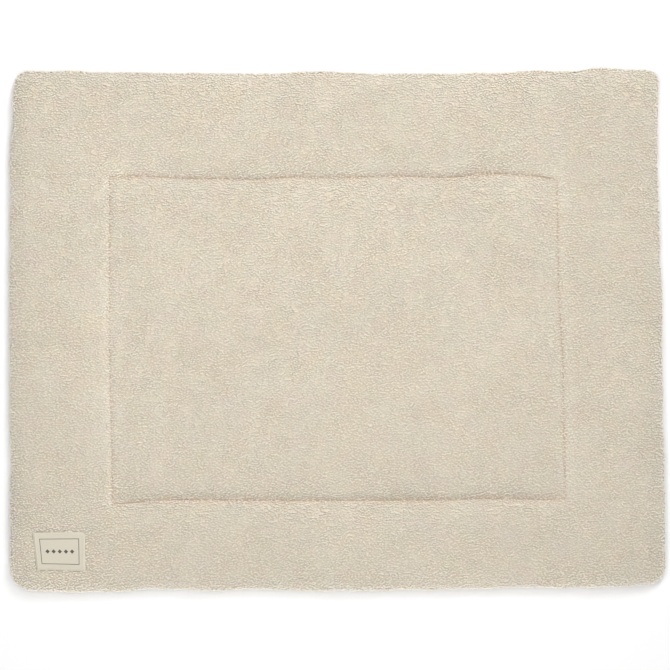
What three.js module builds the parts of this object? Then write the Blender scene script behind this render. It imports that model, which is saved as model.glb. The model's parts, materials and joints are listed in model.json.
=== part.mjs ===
// A padded playpen mat: curly fleece over wadding, turned out through its edge seam and
// quilted with one sewn rectangle, with a small cloth label sewn on near one corner.
// Millimetres, +Z up, +X along the long side. The origin is under the middle of the mat,
// on the surface that it lies on.
import * as THREE from "three";

// Driving dimensions
const MAT_LENGTH = 948;
const MAT_WIDTH = 750;
const BORDER_LOFT = 25; // crest of the padded border
const PANEL_LOFT = 22; // inside the sewn rectangle
const QUILTED_THICKNESS = 9; // what the quilting thread leaves
const RIM_HEIGHT = 8; // height of the edge seam, where the mat is widest
const RIM_ROUNDING = 42; // how far in from the edge the border reaches its full loft
const BORDER_PULL = 14; // how far the quilting pulls the border down beside it
const PANEL_PULL = 17; // and the same inside the rectangle
const LABEL_THICKNESS = 1.2;
const LABEL_BED = 2.4; // how far the label presses the pile down
const LABEL_BED_SOFTNESS = 9; // width of the slope round the label's bed
const SEAT_GAP = 0.4; // between the label and the mat

// The four sides: the edge of the mat and the sewn line beside it
const EDGE = { left: -MAT_LENGTH / 2, right: MAT_LENGTH / 2, bottom: -MAT_WIDTH / 2, top: MAT_WIDTH / 2 };
const QUILT = { left: -328, right: 324, bottom: -246, top: 222.5 };

// How far each edge stands out (+) or is drawn in (-), at a place along it
const EDGE_WAVES = [
  { side: "left", at: -345, out: 0.5 },
  { side: "left", at: -209, out: 0.9 },
  { side: "left", at: -187, out: -0.6 },
  { side: "left", at: -122, out: 1.9 },
  { side: "left", at: 45, out: 2.3 },
  { side: "left", at: 248, out: 0.9 },
  { side: "left", at: 335, out: -3.5 },
  { side: "left", at: 360, out: -6.4 },
  { side: "right", at: -345, out: 2.3 },
  { side: "right", at: -209, out: 1.6 },
  { side: "right", at: -122, out: -0.6 },
  { side: "right", at: 65, out: -2.0 },
  { side: "right", at: 116, out: -4.4 },
  { side: "right", at: 248, out: -8.6 },
  { side: "right", at: 360, out: -7.1 },
  { side: "bottom", at: -440, out: 3.0 },
  { side: "bottom", at: -372, out: 4.6 },
  { side: "bottom", at: -254, out: 1.2 },
  { side: "bottom", at: -185, out: 2.9 },
  { side: "bottom", at: -127, out: 1.4 },
  { side: "bottom", at: -25, out: 3.8 },
  { side: "bottom", at: 120, out: 1.7 },
  { side: "bottom", at: 280, out: -1.8 },
  { side: "bottom", at: 395, out: -2.6 },
  { side: "bottom", at: 460, out: -6.7 },
  { side: "top", at: -440, out: 0.6 },
  { side: "top", at: -385, out: 1.6 },
  { side: "top", at: -350, out: -0.5 },
  { side: "top", at: -98, out: -1.8 },
  { side: "top", at: -25, out: 0.4 },
  { side: "top", at: 76, out: -1.8 },
  { side: "top", at: 221, out: -0.9 },
  { side: "top", at: 294, out: 1.7 },
  { side: "top", at: 340, out: 0.8 },
  { side: "top", at: 392, out: 6.0 },
  { side: "top", at: 448, out: 3.2 },
];

// The same for the sewn rectangle
const QUILT_WAVES = [
  { side: "left", at: -246, out: -3 },
  { side: "left", at: 0, out: 1.4 },
  { side: "left", at: 222, out: 1.4 },
  { side: "right", at: -246, out: 6 },
  { side: "right", at: -70, out: 3.5 },
  { side: "right", at: 90, out: -3.8 },
  { side: "right", at: 222, out: -6 },
  { side: "bottom", at: -328, out: 5.3 },
  { side: "bottom", at: -250, out: -0.6 },
  { side: "bottom", at: -60, out: 0.6 },
  { side: "bottom", at: 130, out: -0.2 },
  { side: "bottom", at: 225, out: -2.2 },
  { side: "bottom", at: 324, out: -0.5 },
  { side: "top", at: -328, out: 0 },
  { side: "top", at: -290, out: 1.7 },
  { side: "top", at: -200, out: -2.1 },
  { side: "top", at: -112, out: -2.8 },
  { side: "top", at: -54, out: 0.6 },
  { side: "top", at: 0, out: -0.8 },
  { side: "top", at: 90, out: 1.9 },
  { side: "top", at: 160, out: -0.1 },
  { side: "top", at: 235, out: 5.5 },
  { side: "top", at: 293, out: 2.2 },
  { side: "top", at: 324, out: -3 },
];

const CORNER_RADII = [
  { x: -1, y: 1, radius: 19 },
  { x: 1, y: 1, radius: 19 },
  { x: -1, y: -1, radius: 34 },
  { x: 1, y: -1, radius: 29 },
];

// Soft troughs (lift below 0) and ridges (lift above 0) that lie across the padding
const CREASES = [
  { from: [-476, -16], to: [-390, -12], width: 14, lift: -2.6 },
  { from: [-390, -12], to: [-335, 4], width: 16, lift: -1.0 },
  { from: [-430, -75], to: [-360, -140], width: 62, lift: 1.9 },
  { from: [-410, -215], to: [-345, -205], width: 24, lift: -1.8 },
  { from: [-436, 262], to: [-415, 200], width: 14, lift: -1.1 },
  { from: [-352, 268], to: [-262, 243], width: 13, lift: -2.4 },
  { from: [-345, 300], to: [-240, 268], width: 22, lift: 1.1 },
  { from: [-14, 365], to: [-10, 262], width: 9, lift: -0.9 },
  { from: [354, 236], to: [388, 292], width: 12, lift: -2.0 },
  { from: [420, 172], to: [474, 176], width: 12, lift: -1.4 },
  { from: [438, 112], to: [450, 68], width: 24, lift: -2.4 },
  { from: [392, 36], to: [474, 38], width: 13, lift: -1.8 },
  { from: [345, -62], to: [474, -140], width: 16, lift: 1.5 },
  { from: [352, -120], to: [455, -182], width: 14, lift: -1.5 },
  { from: [345, -205], to: [425, -252], width: 13, lift: -1.4 },
  { from: [370, -180], to: [448, -228], width: 12, lift: 1.0 },
  { from: [-318, -94], to: [-304, -96], width: 15, lift: -2.4 },
  { from: [-300, -95], to: [-215, -82], width: 12, lift: -1.0 },
  { from: [-322, 31], to: [-306, 34], width: 12, lift: -1.3 },
  { from: [-140, 14], to: [70, 54], width: 24, lift: 1.3 },
  { from: [-214, 96], to: [20, 72], width: 20, lift: -0.9 },
  { from: [-200, -46], to: [-25, 6], width: 20, lift: -0.9 },
  { from: [-60, -78], to: [40, -60], width: 18, lift: -0.6 },
];

// The label's corners, as it lies on the mat
const LABEL = {
  leftTop: [-440.9, -292.2],
  rightTop: [-364.2, -291.0],
  rightBottom: [-363.6, -348.1],
  leftBottom: [-434.2, -345.8],
};
const LABEL_CORNER = 3.5; // radius, as a patch 75 wide and 55 high
const LABEL_SIZE = { width: 75, height: 55 };

// Grid spacing
const RIM_STEPS = [0, 2, 6, 13, 23, 37]; // from the edge inwards
const QUILT_STEPS = [0, 4, 10, 20]; // to each side of a sewn line
const LABEL_STEPS = [-5, 4]; // to each side of the label's edges
const BORDER_STEP = 15;
const PANEL_STEP = 18;
const LABEL_STEP = 6;
const UNDERSIDE_RINGS = [
  { inset: 1.6, height: 3.6 },
  { inset: 6, height: 0 },
];

const { sign, abs, hypot, exp, sin, min, max, sqrt, pow, ceil, floor } = Math;
const mix = (a, b, t) => a + (b - a) * t;
const clamp = (v, low, high) => min(max(v, low), high);
const smooth = (t) => t * t * (3 - 2 * t);

// A smooth curve through the rows of one side, level before the first and after the last.
function waveAt(waves, side, at) {
  const rows = waves.filter((row) => row.side === side);
  const next = rows.findIndex((row) => row.at > at);
  if (next === 0) return rows[0].out;
  if (next < 0) return rows[rows.length - 1].out;
  const a = rows[next - 1];
  const b = rows[next];
  return mix(a.out, b.out, smooth((at - a.at) / (b.at - a.at)));
}

// Positions from the first stop to the last, with every stop in and no gap over step().
function linesThrough(stops, step) {
  const sorted = [...stops].sort((a, b) => a - b);
  const lines = [sorted[0]];
  for (let i = 1; i < sorted.length; i++) {
    const from = sorted[i - 1];
    const to = sorted[i];
    const parts = ceil((to - from) / step((from + to) / 2) - 1e-6);
    for (let k = 1; k <= parts; k++) lines.push(mix(from, to, k / parts));
  }
  return lines;
}

// Squares off a rounded corner: a grid corner at (1, 1) goes to the middle of its arc.
function roundCorner(a, b) {
  return [a * sqrt(1 - (b * b) / 2), b * sqrt(1 - (a * a) / 2)];
}

// Where a point of the square, straight grid lies on the mat, seen from above.
function place(gridX, gridY) {
  let [x, y] = [gridX, gridY];
  const corner = CORNER_RADII.find((c) => c.x === (sign(x) || 1) && c.y === (sign(y) || 1));
  const flatX = EDGE.right - corner.radius;
  const flatY = EDGE.top - corner.radius;
  if (abs(x) > flatX && abs(y) > flatY) {
    const [a, b] = roundCorner((abs(x) - flatX) / corner.radius, (abs(y) - flatY) / corner.radius);
    x = sign(x) * (flatX + a * corner.radius);
    y = sign(y) * (flatY + b * corner.radius);
  }
  const shift = (value, low, high, at) => {
    const stops = [
      [EDGE[low], -waveAt(EDGE_WAVES, low, at)],
      [QUILT[low], -waveAt(QUILT_WAVES, low, at)],
      [QUILT[high], waveAt(QUILT_WAVES, high, at)],
      [EDGE[high], waveAt(EDGE_WAVES, high, at)],
    ];
    const i = clamp(stops.findIndex(([stop]) => stop >= value), 1, 3);
    const [from, to] = [stops[i - 1], stops[i]];
    return mix(from[1], to[1], (value - from[0]) / (to[0] - from[0]));
  };
  return [x + shift(x, "left", "right", y), y + shift(y, "bottom", "top", x)];
}

// 0 on the edge to 1 where the padding has its full loft, as a rounded nose.
function rimRise(distance) {
  const t = clamp(distance / RIM_ROUNDING, 0, 1);
  return pow(1 - pow(1 - t, 2.1), 1 / 2.1);
}

// 0 on the sewn line to 1 away from it.
function puff(distance, pull) {
  return 1 - exp(-max(distance, 0) / pull);
}

function distanceToSegment(x, y, [x0, y0], [x1, y1]) {
  const along = clamp(((x - x0) * (x1 - x0) + (y - y0) * (y1 - y0)) / ((x1 - x0) ** 2 + (y1 - y0) ** 2), 0, 1);
  return hypot(x - mix(x0, x1, along), y - mix(y0, y1, along));
}

// The folds and the general unevenness of the wadding.
function unevenness(x, y) {
  const folds = CREASES.reduce(
    (sum, c) => sum + c.lift * exp(-((distanceToSegment(x, y, c.from, c.to) / c.width) ** 2)),
    0,
  );
  const wadding = 0.5 * sin(x / 61 + y / 130) * sin(y / 47 - x / 210) + 0.35 * sin(x / 29 + 2) * sin(y / 33 + 1);
  return folds + wadding;
}

// 1 under the label, falling to 0 beside it.
function labelPress(x, y) {
  const edges = [LABEL.leftTop, LABEL.rightTop, LABEL.rightBottom, LABEL.leftBottom];
  const outside = edges.map(([x0, y0], i) => {
    const [x1, y1] = edges[(i + 1) % edges.length];
    return ((x - x0) * (y0 - y1) + (y - y0) * (x1 - x0)) / hypot(x1 - x0, y1 - y0);
  });
  const distance = max(0, ...outside);
  return smooth(clamp(1 - distance / LABEL_BED_SOFTNESS, 0, 1));
}

// Height of the mat's face over a point of the straight grid that lies at (x, y).
function faceHeight(gridX, gridY, x, y) {
  const rim = rimRise(EDGE.right - abs(gridX)) * rimRise(EDGE.top - abs(gridY));
  const beside = [QUILT.left - gridX, gridX - QUILT.right, QUILT.bottom - gridY, gridY - QUILT.top];
  const outside = hypot(max(beside[0], beside[1], 0), max(beside[2], beside[3], 0));
  const puffed = outside > 0 ? puff(outside, BORDER_PULL) : beside.reduce((all, d) => all * puff(-d, PANEL_PULL), 1);
  const loft = outside > 0 ? BORDER_LOFT : PANEL_LOFT;
  const padding = (loft - QUILTED_THICKNESS + unevenness(x, y)) * puffed;
  const full = QUILTED_THICKNESS + padding - LABEL_BED * labelPress(x, y);
  return mix(RIM_HEIGHT, full, rim);
}

// Grows one closed mesh from grids and rings of points.
class Body {
  points = [];
  faces = [];

  add(x, y, z) {
    return this.points.push(x, y, z) / 3 - 1;
  }

  // Rows and columns of point numbers, facing up when both run upwards, or turned over.
  grid(rows, turned = false) {
    for (let j = 1; j < rows.length; j++) {
      for (let i = 1; i < rows[j].length; i++) {
        const [a, b, c, d] = [rows[j - 1][i - 1], rows[j - 1][i], rows[j][i], rows[j][i - 1]];
        this.faces.push(...(turned ? [a, c, b, a, d, c] : [a, b, c, a, c, d]));
      }
    }
  }

  // A wall from one closed ring of points down to the next.
  wall(upper, lower) {
    upper.forEach((a, i) => {
      const next = (i + 1) % upper.length;
      this.faces.push(a, lower[i], lower[next], a, lower[next], upper[next]);
    });
  }

  floor(ring) {
    const outline = ring.map((p) => new THREE.Vector2(this.points[3 * p], this.points[3 * p + 1]));
    for (const [a, b, c] of THREE.ShapeUtils.triangulateShape(outline, [])) {
      this.faces.push(ring[a], ring[c], ring[b]);
    }
  }

  mesh(name, material) {
    const geometry = new THREE.BufferGeometry();
    geometry.setAttribute("position", new THREE.Float32BufferAttribute(this.points, 3));
    geometry.setIndex(this.faces);
    geometry.computeVertexNormals();
    const mesh = new THREE.Mesh(geometry, material);
    mesh.name = name;
    return mesh;
  }
}

// The outermost entries of a table of rows, anticlockwise seen from above.
function rimOf(rows) {
  const last = rows.length - 1;
  const width = rows[0].length - 1;
  return [
    ...rows[0].slice(0, width),
    ...rows.slice(0, last).map((row) => row[width]),
    ...rows[last].slice(1).reverse(),
    ...rows.slice(1).map((row) => row[0]).reverse(),
  ];
}

function buildMat() {
  const body = new Body();
  const around = (values, steps) => values.flatMap((v) => steps.flatMap((s) => [v - s, v + s]));
  const inward = (low, high) => RIM_STEPS.flatMap((s) => [low + s, high - s]);
  const labelX = LABEL_STEPS.flatMap((s) => [LABEL.leftTop[0] + s, LABEL.rightBottom[0] - s]);
  const labelY = LABEL_STEPS.flatMap((s) => [LABEL.leftBottom[1] + s, LABEL.leftTop[1] - s]);
  const stopsX = [...inward(EDGE.left, EDGE.right), ...around([QUILT.left, QUILT.right], QUILT_STEPS), ...labelX];
  const stopsY = [...inward(EDGE.bottom, EDGE.top), ...around([QUILT.bottom, QUILT.top], QUILT_STEPS), ...labelY];
  const step = (low, high) => (at) => (at > low && at < high ? PANEL_STEP : BORDER_STEP);
  const columns = linesThrough([...new Set(stopsX)], step(QUILT.left, QUILT.right));
  const lines = linesThrough([...new Set(stopsY)], step(QUILT.bottom, QUILT.top));

  const grid = lines.map((gridY) => columns.map((gridX) => ({ gridX, gridY })));
  const face = grid.map((row) =>
    row.map(({ gridX, gridY }) => {
      const [x, y] = place(gridX, gridY);
      return body.add(x, y, faceHeight(gridX, gridY, x, y));
    }),
  );
  body.grid(face);

  // Under the edge seam the mat turns in to the flat that it lies on.
  let upper = rimOf(face);
  for (const { inset, height } of UNDERSIDE_RINGS) {
    const ring = rimOf(grid).map(({ gridX, gridY }) => {
      const [x, y] = place(gridX * (1 - inset / EDGE.right), gridY * (1 - inset / EDGE.top));
      return body.add(x, y, height);
    });
    body.wall(upper, ring);
    upper = ring;
  }
  body.floor(upper);
  return { body, face };
}

// Height of the built mat's facets at (x, y).
function facetHeight({ body, face }, x, y) {
  const at = (p) => body.points.slice(3 * p, 3 * p + 3);
  const faceCorners = 6 * (face.length - 1) * (face[0].length - 1);
  for (let i = 0; i < faceCorners; i += 3) {
    const [a, b, c] = body.faces.slice(i, i + 3).map(at);
    const area = (b[0] - a[0]) * (c[1] - a[1]) - (c[0] - a[0]) * (b[1] - a[1]);
    const u = ((x - a[0]) * (c[1] - a[1]) - (c[0] - a[0]) * (y - a[1])) / area;
    const v = ((b[0] - a[0]) * (y - a[1]) - (x - a[0]) * (b[1] - a[1])) / area;
    if (u >= 0 && v >= 0 && u + v <= 1) return a[2] + u * (b[2] - a[2]) + v * (c[2] - a[2]);
  }
  throw new Error(`no face of the mat lies at ${x}, ${y}`);
}

function buildLabel(mat) {
  const body = new Body();
  const halfW = LABEL_SIZE.width / 2;
  const halfH = LABEL_SIZE.height / 2;
  const stops = (half) => [-half, LABEL_CORNER - half, half - LABEL_CORNER, half];
  const columns = linesThrough(stops(halfW), () => LABEL_STEP);
  const lines = linesThrough(stops(halfH), () => LABEL_STEP);
  const seat = (u, v) => {
    let [x, y] = [u, v];
    const [flatX, flatY] = [halfW - LABEL_CORNER, halfH - LABEL_CORNER];
    if (abs(u) > flatX && abs(v) > flatY) {
      const [a, b] = roundCorner((abs(u) - flatX) / LABEL_CORNER, (abs(v) - flatY) / LABEL_CORNER);
      x = sign(u) * (flatX + a * LABEL_CORNER);
      y = sign(v) * (flatY + b * LABEL_CORNER);
    }
    const [s, t] = [x / LABEL_SIZE.width + 0.5, y / LABEL_SIZE.height + 0.5];
    const across = (left, right) => [0, 1].map((k) => mix(left[k], right[k], s));
    const [low, high] = [across(LABEL.leftBottom, LABEL.rightBottom), across(LABEL.leftTop, LABEL.rightTop)];
    return [mix(low[0], high[0], t), mix(low[1], high[1], t)];
  };
  // The patch bridges the small hollows of the pile, so it rests on the highest point near by.
  const restsAt = (x, y) => {
    const reach = LABEL_STEP / 2;
    const near = [[0, 0], [-reach, 0], [reach, 0], [0, -reach], [0, reach]];
    return max(...near.map(([dx, dy]) => facetHeight(mat, x + dx, y + dy))) + SEAT_GAP;
  };
  const seats = lines.map((v) => columns.map((u) => seat(u, v)).map(([x, y]) => [x, y, restsAt(x, y)]));
  const top = seats.map((row) => row.map(([x, y, z]) => body.add(x, y, z + LABEL_THICKNESS)));
  const under = seats.map((row) => row.map(([x, y, z]) => body.add(x, y, z)));
  body.grid(top);
  body.grid(under, true);
  body.wall(rimOf(top), rimOf(under));
  return body;
}

const fleece = new THREE.MeshStandardMaterial({ color: "#dbd1be", roughness: 1, metalness: 0 });
const labelCloth = new THREE.MeshStandardMaterial({ color: "#e2dcc8", roughness: 0.85, metalness: 0 });

const mat = buildMat();
const playpenMat = new THREE.Group();
playpenMat.add(mat.body.mesh("mat", fleece), buildLabel(mat).mesh("label", labelCloth));

// The edges wave, so the origin is set under the middle of what was built.
const middle = new THREE.Box3().setFromObject(playpenMat).getCenter(new THREE.Vector3());
playpenMat.children.forEach((mesh) => mesh.position.set(-middle.x, -middle.y, 0));

export default playpenMat;
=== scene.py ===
"""A padded playpen mat in curly teddy fleece, quilted with one rectangle, with a small cloth label.

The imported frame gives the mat's outline, crown, creases and quilting. This script dresses it:
a fleece ground with a cotton back, a pile of curls, the quilting thread and the sewn-on label.
"""

import json
import math

import bmesh
import bpy
import numpy as np
from bpy.props import FloatProperty, FloatVectorProperty, IntProperty, PointerProperty
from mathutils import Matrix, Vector
from mathutils.bvhtree import BVHTree

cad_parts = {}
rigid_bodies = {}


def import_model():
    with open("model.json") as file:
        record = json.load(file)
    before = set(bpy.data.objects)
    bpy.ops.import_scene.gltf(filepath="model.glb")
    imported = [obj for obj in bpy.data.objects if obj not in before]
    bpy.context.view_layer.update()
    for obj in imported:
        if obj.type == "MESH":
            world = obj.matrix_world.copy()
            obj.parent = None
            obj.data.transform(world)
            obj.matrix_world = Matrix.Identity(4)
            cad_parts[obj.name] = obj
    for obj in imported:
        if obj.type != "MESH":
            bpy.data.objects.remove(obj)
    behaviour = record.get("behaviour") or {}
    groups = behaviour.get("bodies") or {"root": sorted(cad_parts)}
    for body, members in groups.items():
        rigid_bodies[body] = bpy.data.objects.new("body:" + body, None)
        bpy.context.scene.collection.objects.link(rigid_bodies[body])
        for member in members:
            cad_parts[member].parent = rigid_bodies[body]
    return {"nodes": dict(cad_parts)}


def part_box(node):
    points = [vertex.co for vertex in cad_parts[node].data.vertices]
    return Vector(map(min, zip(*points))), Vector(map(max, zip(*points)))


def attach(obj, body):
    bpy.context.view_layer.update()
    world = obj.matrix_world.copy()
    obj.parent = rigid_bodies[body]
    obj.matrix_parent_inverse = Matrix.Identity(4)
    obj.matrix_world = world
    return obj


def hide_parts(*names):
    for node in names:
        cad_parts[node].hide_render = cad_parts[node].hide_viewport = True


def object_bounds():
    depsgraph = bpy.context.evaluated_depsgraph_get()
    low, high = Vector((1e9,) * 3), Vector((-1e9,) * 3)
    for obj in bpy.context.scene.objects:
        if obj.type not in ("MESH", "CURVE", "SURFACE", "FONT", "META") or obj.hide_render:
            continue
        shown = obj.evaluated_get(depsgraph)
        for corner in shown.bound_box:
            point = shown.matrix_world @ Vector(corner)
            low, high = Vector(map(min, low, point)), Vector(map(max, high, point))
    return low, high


bl_info = {
    "name": "Teddy playpen mat",
    "version": (1, 0, 0),
    "blender": (4, 5, 0),
    "location": "3D View > Sidebar > Playpen mat",
    "description": "Dresses a quilted playpen mat in curly fleece with its thread and label",
    "category": "Object",
}

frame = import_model()
CAD_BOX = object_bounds()
BAKE_MAP = "OFBake"  # the UV map that a baked picture of a piece can be laid out on
PHOTO_SIDE = 670  # pixels
MM = 0.001
CORNER_SIGNS = ((-1, -1), (1, -1), (1, 1), (-1, 1))


# Settings


def length(name, description, default):
    return FloatProperty(name=name, description=description, default=default, unit="LENGTH")


def number(name, description, default):
    return FloatProperty(name=name, description=description, default=default)


def colour(name, description, default):
    return FloatVectorProperty(name=name, description=description, default=default, subtype="COLOR", size=3)


class MatSettings(bpy.types.PropertyGroup):
    """Sizes and colours of the mat's own pieces"""

    pile_depth: length("Pile depth", "From the fleece's ground to the tips of its curls", 2.2 * MM)
    curl_spacing: length("Curl spacing", "Least distance between two curls", 2.7 * MM)
    curl_lean: FloatProperty(
        name="Curl lean",
        description="How far a curl may tip to any side",
        default=math.radians(14),
        subtype="ANGLE",
    )
    parting: length("Parting", "Width without curls to each side of the quilting thread", 0.7 * MM)
    stitch_length: length("Stitch length", "Of the quilting thread", 4.2 * MM)
    label_stitch_length: length("Label stitch length", "Of the thread round the label", 2.6 * MM)
    seed: IntProperty(name="Seed", description="Order of the curls and stitches", default=7)
    pile_colour: colour("Pile colour", "Cream of the curls", (0.820, 0.762, 0.660))
    back_colour: colour("Back colour", "Unbleached cotton of the underside", (0.74, 0.69, 0.58))
    thread_colour: colour("Thread colour", "Cotton thread of the quilting", (0.62, 0.53, 0.40))
    label_colour: colour("Label colour", "Ivory cotton of the label", (0.638, 0.593, 0.492))
    ink_colour: colour("Ink colour", "Print on the label", (0.05, 0.045, 0.035))


class StageSettings(bpy.types.PropertyGroup):
    """Camera, floor and light"""

    view_width: length("View width", "How much of the floor the picture's side shows", 972.2 * MM)
    lens: number("Lens", "Focal length in millimetres", 135)
    key_power: number("Key light", "Watts of the lamp beyond the top right corner", 39)
    top_power: number("Top light", "Watts of the soft lamp above the mat", 8.7)
    low_power: number("Low light", "Watts of the low lamp at the bottom edge", 20.5)
    sky_strength: number("Fill light", "Strength of the even light all round", 0.47)


# Nodes


def add(tree, kind, inputs=None, **settings):
    """A new node with its settings, and each input set or linked."""
    made = tree.nodes.new(kind)
    for name, value in settings.items():
        setattr(made, name, value)
    for name, value in (inputs or {}).items():
        if isinstance(value, bpy.types.NodeSocket):
            tree.links.new(value, made.inputs[name])
        else:
            made.inputs[name].default_value = value
    return made


def result(tree, kind, inputs=None, **settings):
    """The first output of a new node."""
    return add(tree, kind, inputs, **settings).outputs[0]


def maths(tree, operation, *values):
    """The result of a Math node."""
    return result(tree, "ShaderNodeMath", dict(enumerate(values)), operation=operation)


def times(tree, *values):
    return maths(tree, "MULTIPLY", *values)


def minus(tree, *values):
    return maths(tree, "SUBTRACT", *values)


def scaled(tree, value, by, plus):
    return maths(tree, "MULTIPLY_ADD", value, by, plus)


def vectors(tree, operation, *values):
    """The result of a Vector Math node."""
    return result(tree, "ShaderNodeVectorMath", dict(enumerate(values)), operation=operation)


def vector_of(tree, *numbers):
    """A vector of two or three numbers."""
    return result(tree, "ShaderNodeCombineXYZ", dict(enumerate(numbers)))


def numbers_of(tree, vector):
    """The three numbers of a vector."""
    return add(tree, "ShaderNodeSeparateXYZ", {0: vector}).outputs


def ramp(tree, value, low, high, start=0.0, end=1.0):
    """Goes from start to end as a value goes from low to high, and no further."""
    inputs = {"Value": value, "From Min": low, "From Max": high, "To Min": start, "To Max": end}
    return result(tree, "ShaderNodeMapRange", inputs)


def noise(tree, place, scale, **more):
    """The outputs of a noise texture."""
    return add(tree, "ShaderNodeTexNoise", {"Vector": place, "Scale": scale, **more}).outputs


def new_group(name, kind, inputs, outputs):
    """A node group and its two end nodes. An input is given as its default, or else as its kind."""
    tree = bpy.data.node_groups.new(name, kind)
    kinds = {float: "Float", int: "Int", tuple: "Color"}
    for label, given in inputs.items():
        socket = kinds.get(type(given), given)
        made = tree.interface.new_socket(label, in_out="INPUT", socket_type=f"NodeSocket{socket}")
        if socket is not given:
            made.default_value = given
    for label, socket in outputs.items():
        tree.interface.new_socket(label, in_out="OUTPUT", socket_type=f"NodeSocket{socket}")
    return tree, tree.nodes.new("NodeGroupInput").outputs, tree.nodes.new("NodeGroupOutput").inputs


def set_inputs(modifier, **values):
    """Sets a Geometry Nodes modifier's inputs, given by name with _ for a space."""
    for item in modifier.node_group.interface.items_tree:
        key = item.name.replace(" ", "_").lower()
        if item.in_out == "INPUT" and key in values:
            modifier[item.identifier] = values[key]


def chance(tree, seed, low, high, kind="FLOAT"):
    """A random number for each point."""
    made = add(tree, "FunctionNodeRandomValue", {"Seed": seed}, data_type=kind)
    low_end, high_end = [s for s in made.inputs if s.enabled and s.name in ("Min", "Max")]
    low_end.default_value, high_end.default_value = low, high
    return next(s for s in made.outputs if s.enabled)


# Objects and their points


def plain_object(name, mesh, material=None):
    """An object at the origin, with its material."""
    made = bpy.data.objects.new(name, mesh)
    bpy.context.scene.collection.objects.link(made)
    if material:
        mesh.materials.clear()
        mesh.materials.append(material)
    return made


def baked_down(holder, name):
    """The evaluated mesh of an object as a plain object of its own. The holder goes."""
    depsgraph = bpy.context.evaluated_depsgraph_get()
    mesh = bpy.data.meshes.new_from_object(holder.evaluated_get(depsgraph))
    mesh.name = name
    bpy.data.objects.remove(holder)
    return plain_object(name, mesh)


def triples(rows, name):
    """One vector for each row of a mesh's data."""
    values = np.empty(len(rows) * 3)
    rows.foreach_get(name, values)
    return values.reshape(-1, 3)


def points_of(mesh):
    return triples(mesh.vertices, "co")


def make_smooth(mesh):
    mesh.polygons.foreach_set("use_smooth", [True] * len(mesh.polygons))


def to_bmesh(mesh):
    shape = bmesh.new()
    shape.from_mesh(mesh)
    return shape


def from_bmesh(shape, name):
    """A smooth mesh of a bmesh, which goes."""
    mesh = bpy.data.meshes.new(name)
    shape.to_mesh(mesh)
    shape.free()
    make_smooth(mesh)
    return mesh


def store(mesh, name, values, kind="FLOAT", domain="POINT"):
    """Keeps one number for each point or face of a mesh."""
    mesh.attributes.new(name, kind, domain).data.foreach_set("value", values)


def smoothstep(values, low, high):
    t = np.clip((values - low) / (high - low), 0, 1)
    return t * t * (3 - 2 * t)


def line_object(name, points):
    """A closed line of edges through some points."""
    mesh = bpy.data.meshes.new(name)
    count = len(points)
    mesh.from_pydata([tuple(p) for p in points], [(i, (i + 1) % count) for i in range(count)], [])
    return plain_object(name, mesh)


# Materials

TONE_AND_HEIGHT = {"Colour": "Color", "Height": "Float"}


def soft_fibres():
    """Shader group: the fine hairs of wool-like fibre, as a colour that varies and a height."""
    inputs = {"Colour": (1, 1, 1, 1), "Hair Scale": 900.0, "Blotch": 0.03, "Contrast": 0.1}
    tree, given, out = new_group("Soft fibres", "ShaderNodeTree", inputs, TONE_AND_HEIGHT)
    place = add(tree, "ShaderNodeTexCoord").outputs["Object"]
    hairs = noise(tree, place, given["Hair Scale"], Detail=3.0, Roughness=0.6, Distortion=1.2)["Fac"]
    clumps = noise(tree, place, 210.0)["Fac"]
    broad = noise(tree, place, 7.0, Detail=1.0)["Fac"]

    # Lighter and darker fibres: random tone from the clumps, and painted shade where the fine hairs lie low
    both = maths(tree, "ADD", hairs, clumps)
    level = scaled(tree, minus(tree, both, 1.0), given["Contrast"], 1.0)
    slow = scaled(tree, minus(tree, broad, 0.5), given["Blotch"], level)
    # Faint patches of red, green and blue
    tint = vectors(tree, "SUBTRACT", noise(tree, place, 34.0)["Color"], (0.5, 0.5, 0.5))
    faint = times(tree, given["Blotch"], 0.8)
    tinted = vectors(tree, "MULTIPLY_ADD", tint, faint, slow)
    tree.links.new(vectors(tree, "MULTIPLY", given["Colour"], tinted), out["Colour"])
    tree.links.new(hairs, out["Height"])


def woven_cotton():
    """Shader group: a plain weave of threads over and under, as a shade and a height. The shade paints the
    weave's low parts darker, as shade between threads, mixed with random slubs.
    """
    inputs = {"Vector": "Vector", "Colour": (1, 1, 1, 1), "Threads": 1400.0, "Contrast": 0.12}
    tree, given, out = new_group("Woven cotton", "ShaderNodeTree", inputs, TONE_AND_HEIGHT)
    wobble = noise(tree, given["Vector"], 120.0)["Color"]
    place = vectors(tree, "MULTIPLY_ADD", wobble, (0.0006, 0.0006, 0.0), given["Vector"])
    pace = times(tree, given["Threads"], math.pi)
    across, along = numbers_of(tree, place)[:2]
    waves = [maths(tree, "SINE", times(tree, way, pace)) for way in (across, along)]
    height = scaled(tree, times(tree, *waves), 0.5, 0.5)
    slubs = noise(tree, given["Vector"], 420.0)["Fac"]
    # Painted shade in the weave's low parts, mixed with slubs of random tone
    weave_shade_and_slubs = minus(tree, scaled(tree, height, 0.5, slubs), 0.75)
    level = scaled(tree, weave_shade_and_slubs, given["Contrast"], 1.0)
    tree.links.new(vectors(tree, "MULTIPLY", given["Colour"], level), out["Colour"])
    tree.links.new(height, out["Height"])


# How the fleece's colour varies, with its painted shade and painted light. Scales are in cells a metre, and
# shades in shares of the colour.

PATCH_SCALE = 26.0
# Painted shade: small dark specks in the gaps between the tufts
GAP_SHADE_SCALE, GAP_SHADE_SIZE = 520.0, 0.45  # the size is in cells
GAP_SHADE_MEAN = 0.038  # what the specks take away on average, at full depth
LINE_WARMTH, PATCH_WARMTH = (0.02, -0.018, -0.03), (0.008, 0.002, -0.012)
SHADE_TINT = (0.84, 1.0, 1.24)
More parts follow.
